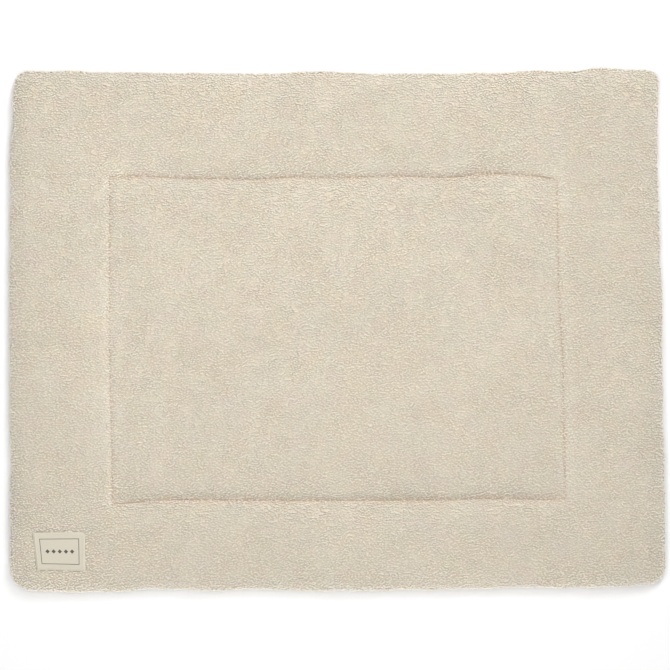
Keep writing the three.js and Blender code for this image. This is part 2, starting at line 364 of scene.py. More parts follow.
# Depth of the painted shade in the gaps between the tufts
GAP_SHADE_DEPTH, OPEN_DEPTH = 0.22, 0.54  # everywhere, and more in the open patches
# Painted shade towards each curl's root, lighter by TIP_GAIN at the tip; OWN_SHADE is each curl's random tone
ROOT_SHADE, TIP_GAIN, OWN_SHADE = 0.80, 0.24, 0.03
# Painted shade on the ground under the curls
GROUND_SHADE, OPEN_SHADE = 0.9, -0.015
# Painted shade in the sewn line's channel, and how wide it is
SEAM_SHADE, SEAM_SHADE_WIDTH = 0.84, 2.5 * MM
# Painted highlight on the steep rim away from the key light
RIM_LIGHT_GAIN = 0.28


def attribute(tree, name):
    """A number kept on the mesh."""
    return add(tree, "ShaderNodeAttribute", attribute_name=name).outputs["Fac"]


def open_pile(tree, place):
    """1 in the patches where the pile stands open, 0 where it is close."""
    return ramp(tree, noise(tree, place, PATCH_SCALE, Detail=1.0)["Fac"], 0.4, 0.6)


def warmth(tree, place):
    """A warm tint in the sewn line and the open patches, where light comes off the curls opposite."""
    near = ramp(tree, attribute(tree, "sewn"), 0.0, 9 * MM, 1.0, 0.0)
    line = vectors(tree, "MULTIPLY_ADD", near, LINE_WARMTH, (1.0, 1.0, 1.0))
    return vectors(tree, "MULTIPLY_ADD", open_pile(tree, place), PATCH_WARMTH, line)


def warm_shade(tree, level):
    """A shade that takes away more blue than red, as the light between cream fibres does."""
    less = minus(tree, level, 1.0)
    return vectors(tree, "MULTIPLY_ADD", less, SHADE_TINT, (1.0, 1.0, 1.0))


def painted_gap_shade(tree, place):
    """A painted shade with small dark specks in the gaps between the tufts, darkest where the pile stands
    open.
    """
    stretched = vectors(tree, "MULTIPLY", place, (0.5, 1.0, 1.0))
    cells = add(tree, "ShaderNodeTexVoronoi", {"Vector": stretched, "Scale": GAP_SHADE_SCALE}).outputs
    dark = maths(tree, "POWER", ramp(tree, cells["Distance"], 0.0, GAP_SHADE_SIZE, 1.0, 0.0), 2.0)
    # The rest of the pile is lighter by their mean
    lit = minus(tree, GAP_SHADE_MEAN, dark)
    depth = scaled(tree, open_pile(tree, place), OPEN_DEPTH, GAP_SHADE_DEPTH)
    return scaled(tree, lit, depth, 1.0)


def painted_rim_light(tree):
    """A painted highlight on the rim away from the key light, standing in for light that comes through the
    fibres.
    """
    return scaled(tree, attribute(tree, "rim"), RIM_LIGHT_GAIN, 1.0)


def new_material(name):
    """An empty node material: its tree and its surface shader."""
    material = bpy.data.materials.new(name)
    material.use_nodes = True
    tree = material.node_tree
    return material, tree, tree.nodes["Principled BSDF"]


def group_node(tree, name, tone, **inputs):
    """A placed shader group, given its colour and its other inputs by name with _ for a space."""
    named = {key.replace("_", " "): value for key, value in inputs.items()}
    group = bpy.data.node_groups[name]
    return add(tree, "ShaderNodeGroup", {"Colour": (*tone, 1.0), **named}, node_tree=group).outputs


def link_up(tree, shader, tone, height, strength, distance):
    """Feeds a colour to the shader, and a height as relief."""
    bump = result(tree, "ShaderNodeBump", {"Height": height, "Strength": strength, "Distance": distance})
    tree.links.new(bump, shader.inputs["Normal"])
    tree.links.new(tone, shader.inputs["Base Color"])


def set_values(node, values):
    for name, value in values.items():
        node.inputs[name].default_value = value


def set_cloth(shader, sheen, depth=0.0):
    """Dull cloth: rough, hardly glossy, with a velvety edge. Light passes into it as far as depth."""
    set_values(shader, {"Roughness": 0.95, "Specular IOR Level": 0.12, "Sheen Weight": sheen})
    set_values(shader, {"Sheen Roughness": 0.6, "Sheen Tint": (1.0, 0.96, 0.88, 1.0)})
    if depth:
        set_values(shader, {"Subsurface Weight": 1.0, "Subsurface Radius": (1.0, 1.0, 1.0)})
        set_values(shader, {"Subsurface Scale": depth})


def pile_material(settings):
    """Curls: each a little lighter or darker than the next, with painted shade towards the root and in the
    gaps, and a painted highlight on the rim.
    """
    material, tree, shader = new_material("teddy_pile")
    fibres = group_node(
        tree, "Soft fibres", settings.pile_colour, Hair_Scale=1100.0, Blotch=0.09, Contrast=0.1
    )
    place = add(tree, "ShaderNodeTexCoord").outputs["Object"]
    # Each curl's random tone, plus the painted rim highlight
    own = scaled(tree, attribute(tree, "tint"), OWN_SHADE, painted_rim_light(tree))
    # Painted shade towards the curl's root
    from_root = scaled(tree, attribute(tree, "tip"), TIP_GAIN, ROOT_SHADE)
    # Painted shade in the gaps between the tufts
    level = times(tree, times(tree, own, from_root), painted_gap_shade(tree, place))
    shaded = vectors(tree, "MULTIPLY", fibres["Colour"], warm_shade(tree, level))
    tone = vectors(tree, "MULTIPLY", shaded, warmth(tree, place))
    link_up(tree, shader, tone, fibres["Height"], 0.5, 0.4 * MM)
    set_cloth(shader, 0.12)
    return material


def body_material(settings):
    """The fleece's ground above, with painted shade in the sewn line and under the curls, and the cotton back
    below.
    """
    material, tree, shader = new_material("fleece_ground_and_back")
    fibres = group_node(
        tree, "Soft fibres", settings.pile_colour, Hair_Scale=700.0, Blotch=0.06, Contrast=0.2
    )
    place = add(tree, "ShaderNodeTexCoord").outputs["Object"]
    cotton = group_node(tree, "Woven cotton", settings.back_colour, Vector=place, Threads=900.0)
    # Painted shade in the sewn line's channel
    painted_seam_shade = ramp(tree, attribute(tree, "sewn"), 0.0, SEAM_SHADE_WIDTH, SEAM_SHADE, 1.0)
    # Painted shade on the ground under the curls; less light reaches the ground where the pile stands open
    shade = scaled(tree, open_pile(tree, place), OPEN_SHADE, GROUND_SHADE)
    # The painted rim highlight reaches the ground too
    level = times(tree, times(tree, painted_seam_shade, shade), painted_rim_light(tree))
    shaded = vectors(tree, "MULTIPLY", fibres["Colour"], warm_shade(tree, level))
    ground = vectors(tree, "MULTIPLY", shaded, warmth(tree, place))
    above = ramp(tree, numbers_of(tree, place)[2], 1.6 * MM, 2.0 * MM)
    mixed = add(tree, "ShaderNodeMix", {0: above, 6: cotton["Colour"], 7: ground}, data_type="RGBA")
    heights = {0: above, 2: cotton["Height"], 3: fibres["Height"]}
    relief = result(tree, "ShaderNodeMix", heights, data_type="FLOAT")
    link_up(tree, shader, mixed.outputs[2], relief, 0.6, 0.5 * MM)
    set_cloth(shader, 0.1, 1.0 * MM)
    return material


def thread_material(name, tone):
    """Spun cotton thread."""
    material, tree, shader = new_material(name)
    fibres = group_node(tree, "Soft fibres", tone, Hair_Scale=2600.0, Blotch=0.04, Contrast=0.3)
    link_up(tree, shader, fibres["Colour"], fibres["Height"], 0.7, 0.15 * MM)
    set_cloth(shader, 0.15)
    return material


def label_material(settings):
    """Woven cotton with a generic print: a ruled frame round a row of diamonds."""
    material, tree, shader = new_material("label_cotton")
    place = result(tree, "ShaderNodeUVMap", uv_map=LABEL_MAP)
    cotton = group_node(
        tree, "Woven cotton", settings.label_colour, Vector=place, Threads=2200.0, Contrast=0.1
    )
    u, v = numbers_of(tree, place)[:2]

    def off_centre(value, length):
        return maths(tree, "ABSOLUTE", minus(tree, value, length / 2 * MM))

    def below(value, size):
        """1 where a distance is below a size, with a slightly soft edge."""
        return ramp(tree, value, (size + 0.1) * MM, (size - 0.1) * MM)

    across, along = off_centre(u, LABEL_WIDTH), off_centre(v, LABEL_HEIGHT)
    to_side, to_end = minus(tree, LABEL_WIDTH / 2 * MM, across), minus(tree, LABEL_HEIGHT / 2 * MM, along)
    from_edge = maths(tree, "MINIMUM", to_side, to_end)
    off_rule = minus(tree, from_edge, PRINT_INSET * MM)
    ruled = below(maths(tree, "ABSOLUTE", off_rule), PRINT_LINE / 2)
    in_turn = maths(tree, "PINGPONG", across, DIAMOND_PITCH * MM / 2)
    diamond = below(maths(tree, "ADD", in_turn, along), DIAMOND_SIZE)
    diamonds = times(tree, diamond, below(across, DIAMOND_PITCH * DIAMONDS / 2))
    ink = times(tree, maths(tree, "MAXIMUM", ruled, diamonds), 0.88)
    # The turned-in sides are thicker and look paler
    hem = scaled(tree, below(from_edge, HEM_WIDTH), 0.05, 1.0)
    cloth = vectors(tree, "MULTIPLY", cotton["Colour"], hem)
    tones = {0: ink, 6: cloth, 7: (*settings.ink_colour, 1.0)}
    printed = add(tree, "ShaderNodeMix", tones, data_type="RGBA").outputs[2]
    link_up(tree, shader, printed, cotton["Height"], 0.35, 0.12 * MM)
    set_cloth(shader, 0.05)
    return material


# The padded body


def mat_from_frame():
    """A merged copy of the frame's mat, as quads."""
    shape = to_bmesh(frame["nodes"]["mat"].data)
    bmesh.ops.remove_doubles(shape, verts=shape.verts, dist=0.02 * MM)
    bend, skew = math.radians(50), math.radians(70)
    faces = shape.faces
    bmesh.ops.join_triangles(shape, faces=faces, angle_face_threshold=bend, angle_shape_threshold=skew)
    return shape


def sewn_loop(inside=80 * MM, slack=0.15 * MM):
    """The quilting's points in order: the loop of the frame's mat that is thinnest inside its rim."""
    shape = mat_from_frame()
    low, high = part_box("mat")
    on_face = [v for v in shape.verts if v.co.z > MM]
    in_length = [v for v in on_face if low.x + inside < v.co.x < high.x - inside]
    within = [v for v in in_length if low.y + inside < v.co.y < high.y - inside]
    thinnest = min(v.co.z for v in within)
    on_line = {v for v in within if v.co.z < thinnest + slack}
    first = min(on_line, key=lambda v: (v.co.x + v.co.y))
    loop, before = [first], None
    while True:
        here = loop[-1]
        beside = [e.other_vert(here) for e in here.link_edges]
        onward = [v for v in beside if v in on_line and v not in loop[1:] and v is not before]
        if not onward or (onward[0] is first and len(loop) > 2):
            break
        before = here
        loop.append(onward[0])
    points = np.array([v.co for v in loop])
    shape.free()
    return points


# How the cover swells

HELD_BELOW, HELD_SEAM = 7 * MM, 6 * MM  # height over the floor, and distance from the sewn line
WADDING_HOLD = 0.25  # how far the wadding keeps the cover down
SWELL_STEPS = 20
SWELL_PRESSURE = 2.0
SWELL_MASS = 0.02  # kilograms a point
SWELL_SLACK = 0.012  # how much longer the cover is than its shape
SWELL_CAP = 2.0 * MM
# How far the wadding fills the quilting's channel along its short sides
SIDE_FILL, SIDE_FILL_WIDTH = 6.5 * MM, 24 * MM


def edges_of(loop):
    return list(zip(loop[:, :2], np.roll(loop, -1, axis=0)[:, :2]))


def distance_to_edges(points, edges):
    """Distance of each point to the nearest of some edges, seen from above."""
    nearest = np.full(len(points), np.inf)
    for a, b in edges:
        along = np.clip(((points[:, :2] - a) @ (b - a)) / max((b - a) @ (b - a), 1e-12), 0, 1)
        gap = np.linalg.norm(points[:, :2] - (a + along[:, None] * (b - a)), axis=1)
        nearest = np.minimum(nearest, gap)
    return nearest


def held_points(co, loop):
    """The points that the swelling leaves alone: the back, the sewn line and the label's bed."""
    held = co[:, 2] < HELD_BELOW
    held |= distance_to_edges(co, edges_of(loop)) < HELD_SEAM
    held |= inside_label(co, -14 * MM, -6 * MM) > 0
    return held


def swell(holder, held):
    """Blows the cover up a little with Cloth, so it puckers between the held points."""
    scene = bpy.context.scene
    start = points_of(holder.data)
    group = holder.vertex_groups.new(name="held")
    group.add(np.flatnonzero(held).tolist(), 1.0, "REPLACE")
    group.add(np.flatnonzero(~held).tolist(), WADDING_HOLD, "REPLACE")
    cloth = holder.modifiers.new("Swell", "CLOTH")
    how = cloth.settings
    how.vertex_group_mass = group.name
    how.mass = SWELL_MASS
    how.use_pressure = True
    how.uniform_pressure_force = SWELL_PRESSURE
    how.shrink_min = -SWELL_SLACK
    how.effector_weights.gravity = 0
    cloth.collision_settings.use_collision = False
    for step in range(1, SWELL_STEPS + 1):
        scene.frame_set(step)
    blown = points_of(holder.evaluated_get(bpy.context.evaluated_depsgraph_get()).data)
    holder.modifiers.remove(cloth)
    scene.frame_set(1)
    # The move levels off at the cap
    move = blown - start
    far = np.maximum(np.linalg.norm(move, axis=1), 1e-9)
    move *= (SWELL_CAP * np.tanh(far / SWELL_CAP) / far)[:, None]
    holder.data.vertices.foreach_set("co", (start + move).ravel())
    holder.data.update()


class PLAYMAT_OT_body(bpy.types.Operator):
    """Makes the padded body: the fleece's ground over the wadding, and the flat back"""

    bl_idname = "playmat.body"
    bl_label = "Padded body"

    def execute(self, context):
        settings = context.scene.playmat
        loop = sewn_loop()
        coarse = from_bmesh(mat_from_frame(), "mat_body")
        holder = plain_object("holder", coarse)
        swell(holder, held_points(points_of(coarse), loop))
        rounding = holder.modifiers.new("Rounding", "SUBSURF")
        rounding.levels = rounding.render_levels = 1
        body = baked_down(holder, "mat_body")
        mesh = body.data
        make_smooth(mesh)

        # The ground lies inside the outline that the curls fill, by less at the rim and under the label
        co, normals = points_of(mesh), triples(mesh.vertices, "normal")
        facing_up = np.clip(normals[:, 2], 0, 1)
        off_floor = smoothstep(co[:, 2], 0.5 * MM, 5 * MM)
        sunk = settings.pile_depth * (0.5 + 0.5 * facing_up) * off_floor
        sunk *= 1 - 0.85 * inside_label(co)
        co -= normals * sunk[:, None]
        short = [(a, b) for a, b in edges_of(loop) if abs(b[1] - a[1]) > abs(b[0] - a[0])]
        beside = 1 - smoothstep(distance_to_edges(co, short), 0, SIDE_FILL_WIDTH)
        co[:, 2] += SIDE_FILL * off_floor * beside
        co[:, 2] = np.maximum(co[:, 2], 0)
        mesh.vertices.foreach_set("co", co.ravel())
        mesh.update()

        store(mesh, "sewn", distance_to_edges(co, edges_of(loop)))
        # Where the painted rim highlight goes: steep faces not turned to the key light
        store(mesh, "rim", (1 - facing_up) * (1 - np.clip(normals[:, 1], 0, 1)))
        mesh.materials.clear()
        mesh.materials.append(body_material(settings))
        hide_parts("mat")
        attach(body, "root")
        return {"FINISHED"}


# The label, in millimetres

LABEL_MAP = "label_map"  # the cloth's own UV map, in metres
LABEL_WIDTH, LABEL_HEIGHT = 75, 55
LABEL_HALF = np.array((LABEL_WIDTH / 2, LABEL_HEIGHT / 2))
LABEL_CLOTH = 0.75  # thickness
LABEL_CORNER, ROUNDEST_CORNER = 3.5, 6.0  # the second is the top right one
LABEL_ROLL = 0.4  # radius of its folded edges
HEM_WIDTH, HEM_RISE = 3.6, 0.35
SEAM_INSET, SEAM_DIP = 2.2, 0.22
EDGE_TUCK, TUCK_WIDTH = 2.1, 3.2  # how far the sewn edges sink into the pile
PRINT_INSET, PRINT_LINE = 9.5, 0.9
DIAMONDS, DIAMOND_PITCH, DIAMOND_SIZE = 5, 9.0, 3.2


def label_corners():
    """The label's square corners on the mat: left bottom, right bottom, right top, left top."""
    co = points_of(frame["nodes"]["label"].data)
    cut = LABEL_CORNER * (1 - math.sqrt(0.5)) * MM
    corners = []
    for x, y in CORNER_SIGNS:
        outermost = co[np.argmax(co[:, 0] * x + co[:, 1] * y)]
        corners.append(outermost[:2] + np.array((x, y)) * cut)
    return np.array(corners)


def inside_label(co, low=4 * MM, high=12 * MM):
    """Rises from 0 to 1 between two distances from the label's edge inwards."""
    corners = label_corners()
    depth = np.full(len(co), np.inf)
    for a, b in zip(corners, np.roll(corners, -1, axis=0)):
        inward = np.array((a[1] - b[1], b[0] - a[0])) / math.dist(a, b)
        depth = np.minimum(depth, (co[:, :2] - a) @ inward)
    return smoothstep(depth, low, high)


def label_steps(length, spacing=1.1):
    """Places across the label, close together near its edges."""
    near = np.array((0, 0.12, 0.4, 0.8, 1.3, 1.8, 2.2, 2.6, 3.1, 3.7, 4.2, 4.8, 5.4))
    middle = np.linspace(6.3, length - 6.3, round((length - 12.6) / spacing) + 1)
    return np.concatenate([near, middle, length - near[::-1]])


def corner_radius(centred):
    """The radius of the corner nearest to a place, given from the label's middle."""
    return np.where((centred > 0).all(-1), ROUNDEST_CORNER, LABEL_CORNER)


def rounded(u, v):
    """Pulls the corners of the label's grid in to their radius."""
    place = np.stack((u, v), -1) - LABEL_HALF
    flat = LABEL_HALF - corner_radius(place)[..., None]
    out = np.clip(np.abs(place) - flat, 0, None)
    length = np.linalg.norm(out, axis=-1, keepdims=True)
    shrunk = out * out.max(-1, keepdims=True) / np.maximum(length, 1e-9)
    inner = np.minimum(np.abs(place), flat)
    return np.sign(place) * (inner + shrunk) + LABEL_HALF


def edge_distance(place):
    """How far a place on the label is from its edge, round the corners too."""
    centred = place - LABEL_HALF
    radius = corner_radius(centred)
    out = np.abs(centred) - (LABEL_HALF - radius[..., None])
    beyond = np.linalg.norm(np.clip(out, 0, None), axis=-1)
    return radius - beyond - np.minimum(out.max(-1), 0)


def label_relief(place, depth):
    """Height of the cloth's folds, seam and crease over its smooth surface."""
    u, v = place[..., 0], place[..., 1]
    relief = HEM_RISE * (1 - smoothstep(depth, HEM_WIDTH - 0.4, HEM_WIDTH + 0.4))
    relief -= SEAM_DIP * np.exp(-(((depth - SEAM_INSET) / 0.45) ** 2))
    relief -= EDGE_TUCK * (1 - smoothstep(depth, 0, TUCK_WIDTH))
    # Slight puckers between the stitches
    run = np.where(np.minimum(u, LABEL_WIDTH - u) < np.minimum(v, LABEL_HEIGHT - v), v, u)
    near_seam = np.exp(-(((depth - SEAM_INSET - 0.6) / 2.2) ** 2))
    relief += near_seam * (0.07 * np.sin(run * 1.21) + 0.06 * np.sin(run * 0.53 + 1.0))
    # A crease across the middle, a fold at the lower right and a slight swell
    crease = v - (LABEL_HEIGHT * 0.5 + 0.075 * (u - 12))
    relief += 0.5 * np.exp(-((crease / 0.9) ** 2)) * smoothstep(u, 10, 24)
    fold = (v - 6) - 0.85 * (u - 50)
    relief -= 0.35 * np.exp(-((fold / 1.3) ** 2)) * smoothstep(u, 44, 54)
    relief += 0.4 * np.sin(u * 0.11 + 0.8) * np.sin(v * 0.13 + 0.3)
    return relief


def on_label(place):
    """Places on the label as points on the mat, seen from above, in metres."""
    left_bottom, right_bottom, right_top, left_top = label_corners()
    s = place[..., :1] / LABEL_WIDTH
    t = place[..., 1:] / LABEL_HEIGHT
    low = left_bottom + (right_bottom - left_bottom) * s
    high = left_top + (right_top - left_top) * s
    return low + (high - low) * t


def label_surface(place):
    """The top of the label's cloth as points on the mat, in metres."""
    shape = to_bmesh(frame["nodes"]["label"].data)
    cad = BVHTree.FromBMesh(shape)
    shape.free()
    flat = on_label(place)
    height = np.empty(flat.shape[:-1])
    for index in np.ndindex(height.shape):
        above = Vector((*flat[index], 0.1))
        hit = cad.ray_cast(above, Vector((0, 0, -1)))[0]
        height[index] = (hit or cad.find_nearest(Vector((*flat[index], CAD_BOX[1].z)))[0]).z
    relief = label_relief(place, edge_distance(place))
    return np.concatenate([flat, (height + (relief - 0.3) * MM)[..., None]], -1)


# What both trees of Geometry Nodes use


def turned(tree, rotation, *angles):
    """A rotation turned further about its own three axes."""
    turn = result(tree, "FunctionNodeEulerToRotation", {0: vector_of(tree, *angles)})
    inputs = {"Rotation": rotation, "Rotate By": turn}
    return result(tree, "FunctionNodeRotateRotation", inputs, rotation_space="LOCAL")


def geometry_of(tree, source):
    """The shape of an object."""
    return add(tree, "GeometryNodeObjectInfo", {"Object": source}).outputs["Geometry"]


def put_out(tree, geometry, material, out):
    """Ends a tree with its geometry in one material."""
    dressed = result(tree, "GeometryNodeSetMaterial", {"Geometry": geometry, "Material": material})
    tree.links.new(dressed, out["Geometry"])


# The sewing


def stitch_object(length, radius, rings=4, sides=5):
    """One stitch: a short thread that rises in the middle and goes into the cloth at both ends."""
    shape = bmesh.new()
    rows = []
    for i in range(rings):
        t = (i + 0.5) / rings
        swell = math.sin(math.pi * t) ** 0.5
        centre = Vector(((t - 0.5) * length, 0, radius * (swell - 0.45)))
        turns = [math.tau * k / sides for k in range(sides)]
        around = [Vector((0, math.cos(a), math.sin(a))) * radius * swell for a in turns]
        rows.append([shape.verts.new(centre + out) for out in around])
    for low, high in zip(rows, rows[1:]):
        for k in range(sides):
            shape.faces.new((low[k], low[k - 1], high[k - 1], high[k]))
    for row, x in ((rows[0], -0.5), (rows[-1], 0.5)):
        end = shape.verts.new(Vector((x * length, 0, -radius)))
        for k in range(sides):
            shape.faces.new((row[k], row[k - 1], end))
    bmesh.ops.recalc_face_normals(shape, faces=shape.faces)
    return bpy.data.objects.new("stitch", from_bmesh(shape, "stitch"))


def stitch_tree():
    """Geometry Nodes: stitches one after another along a closed line."""
    inputs = {"Line": "Geometry", "Stitch": "Object", "Material": "Material", "Pitch": 0.004, "Seed": 0}
    tree, given, out = new_group("Row of stitches", "GeometryNodeTree", inputs, {"Geometry": "Geometry"})
    curve = result(tree, "GeometryNodeMeshToCurve", {"Mesh": given["Line"]})
    inputs = {"Curve": curve, "Length": given["Pitch"]}
    spots = add(tree, "GeometryNodeCurveToPoints", inputs, mode="LENGTH").outputs
    along = result(tree, "FunctionNodeAlignRotationToVector", {"Vector": spots["Tangent"]}, axis="X")
    inputs = {"Rotation": along, "Vector": (0, 0, 1)}
    level = result(tree, "FunctionNodeAlignRotationToVector", inputs, axis="Z", pivot_axis="X")
    inputs = {
        "Points": spots["Points"],
        "Instance": geometry_of(tree, given["Stitch"]),
        "Rotation": turned(tree, level, 0.0, 0.0, chance(tree, given["Seed"], -0.12, 0.12)),
    }
    placed = result(tree, "GeometryNodeInstanceOnPoints", inputs)
    real = result(tree, "GeometryNodeRealizeInstances", {0: placed})
    put_out(tree, real, given["Material"], out)
    return tree


def sew(name, line, pitch, radius, material, seed):
    """A row of stitches along a line of points, as one piece."""
    holder = line_object("holder", line)
    stitch = stitch_object(pitch * 0.82, radius)
    modifier = holder.modifiers.new("Stitches", "NODES")
    modifier.node_group = bpy.data.node_groups.get("Row of stitches") or stitch_tree()
    set_inputs(modifier, stitch=stitch, material=material, pitch=pitch, seed=seed)
    piece = baked_down(holder, name)
    bpy.data.objects.remove(stitch)
    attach(piece, "root")
    return piece


def label_seam():
    """The line that the label is sewn on by, just above its cloth."""
    radius = LABEL_CORNER - SEAM_INSET + 1.2
    turns = np.linspace(0, math.tau, 48, endpoint=False) + 0.01
    aim = np.stack((np.cos(turns), np.sin(turns)), -1)
    straight = (LABEL_HALF - SEAM_INSET - radius) * np.sign(aim)
    line = label_surface(LABEL_HALF + straight + radius * aim)
    line[:, 2] += 0.12 * MM
    return line


class PLAYMAT_OT_label(bpy.types.Operator):
    """Makes the cloth label with its turned-in sides, pressed into the pile and sewn on"""

    bl_idname = "playmat.label"
    bl_label = "Label"

    def execute(self, context):
        u, v = np.meshgrid(label_steps(LABEL_WIDTH), label_steps(LABEL_HEIGHT), indexing="ij")
        place = rounded(u, v)
        top = label_surface(place)
        # The folded edge is a half round that joins top and bottom
        depth = np.minimum(np.minimum(u, LABEL_WIDTH - u), np.minimum(v, LABEL_HEIGHT - v))
        roll = 1 - np.sqrt(1 - (1 - np.clip(depth / LABEL_ROLL, 0, 1)) ** 2)
        half = LABEL_CLOTH / 2 * MM
        bottom = top.copy()
        top[..., 2] -= half * roll
        bottom[..., 2] -= half * (2 - roll)

        columns, rows = u.shape
        points = np.concatenate([top.reshape(-1, 3), bottom.reshape(-1, 3)])
        number = np.arange(columns * rows).reshape(columns, rows)
        corner = number[:-1, :-1], number[1:, :-1], number[1:, 1:], number[:-1, 1:]
        upper = np.stack(corner, -1).reshape(-1, 4)
        lower = upper[:, ::-1] + columns * rows
        mesh = bpy.data.meshes.new("label_cloth")
        mesh.from_pydata(points.tolist(), [], np.concatenate([upper, lower]).tolist())
        corners = np.empty(len(mesh.loops), int)
        mesh.loops.foreach_get("vertex_index", corners)
        own = np.tile(place.reshape(-1, 2) * MM, (2, 1))[corners]
        under = (corners >= columns * rows)[:, None]
        mesh.uv_layers.new(name=LABEL_MAP).data.foreach_set("uv", own.ravel())
        laid_out = own / (LABEL_WIDTH * MM) * (1, 0.65) + np.where(under, (0, 0.5), (0, 0))
        mesh.uv_layers.new(name=BAKE_MAP).data.foreach_set("uv", (0.01 + 0.98 * laid_out).ravel())

        shape = to_bmesh(mesh)
        bmesh.ops.remove_doubles(shape, verts=shape.verts, dist=0.001 * MM)
        shape.to_mesh(mesh)
        shape.free()
        make_smooth(mesh)
        settings = context.scene.playmat
        label = plain_object("label_cloth", mesh, label_material(settings))
        thread = thread_material("label_thread", settings.label_colour)
        pitch = settings.label_stitch_length
        stitching = sew("label_stitching", label_seam(), pitch, 0.22 * MM, thread, settings.seed)
        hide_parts("label")
        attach(label, "root")
        return {"FINISHED"}


class PLAYMAT_OT_quilting(bpy.types.Operator):
    """Sews the quilting thread round the panel, at the bottom of its channel"""

    bl_idname = "playmat.quilting"
    bl_label = "Quilting thread"

    def execute(self, context):
        settings = context.scene.playmat
        ground = BVHTree.FromObject(bpy.data.objects["mat_body"], context.evaluated_depsgraph_get())
        line = sewn_loop()
        for point in line:
            point[2] = ground.ray_cast(Vector((point[0], point[1], 0.1)), Vector((0, 0, -1)))[0].z + 0.4 * MM
        material = thread_material("quilting_thread", settings.thread_colour)
        piece = sew("quilting_thread", line, settings.stitch_length, 0.45 * MM, material, settings.seed)
        return {"FINISHED"}


# The pile: bent worms of fibre, sizes in millimetres and bends in degrees

CURLS = (  # bend, length, height of the top, half thickness
    (100, 5.6, 2.1, 1.1),
    (130, 5.9, 1.95, 1.05),
    (-110, 5.4, 2.25, 1.15),
    (-140, 6.1, 2.0, 1.05),
    (60, 5.0, 2.3, 1.15),
    (-40, 5.2, 2.1, 1.1),
)
CURL_SECTION = (-20, 50, 130, 200)  # degrees: broad and flat on top

PILE_PARTS = ("panel_left", "panel_right", "border_top", "border_bottom", "border_sides")
BACK_BELOW = 2.2 * MM  # no pile grows under this height


def curl_object(name, bend, length, top, thick):
    """One curl: a bent worm of fibre whose two ends go into the ground."""
    angle = math.radians(bend)
    radius = length / angle

    def on_arc(t, height):
        turn = (t - 0.5) * angle
        return Vector((radius * math.sin(turn), radius * (math.cos(turn) - math.cos(angle / 4)), height))

    shape = bmesh.new()
    layer = shape.loops.layers.uv.new("curl_map")
    first, last = (shape.verts.new(on_arc(t, -0.6) * MM) for t in (0, 1))
    rings = []
    for t, lift in ((0.28, 0.0), (0.72, 0.15)):
        turn = (t - 0.5) * angle
        side = Vector((math.sin(turn), math.cos(turn), 0))
        centre = on_arc(t, top - 0.77 * thick - lift)
        ring = []
        for around in map(math.radians, CURL_SECTION):
            out = side * math.cos(around) + Vector((0, 0, 1)) * math.sin(around)
            ring.append(shape.verts.new((centre + out * thick) * MM))
        rings.append(ring)
    near, far = rings
    sides = len(CURL_SECTION)
    for k in range(sides):
        onward = (k + 1) % sides
        low, high = k / sides, (k + 1) / sides
        a, b = (near[k], 0.3, low), (near[onward], 0.3, high)
        c, d = (far[onward], 0.7, high), (far[k], 0.7, low)
        middle = (low + high) / 2
        for triangle in (((first, 0.0, middle), b, a), (a, b, c), (a, c, d), ((last, 1.0, middle), d, c)):
            face = shape.faces.new([corner[0] for corner in triangle])
            for loop, corner in zip(face.loops, triangle):
                loop[layer].uv = corner[1:]
    bmesh.ops.recalc_face_normals(shape, faces=shape.faces)
    mesh = from_bmesh(shape, name)
    # How high each point stands, for the painted shade towards the root
    store(mesh, "tip", smoothstep(points_of(mesh)[:, 2], -0.2 * MM, 2.0 * MM))
    return bpy.data.objects.new(name, mesh)


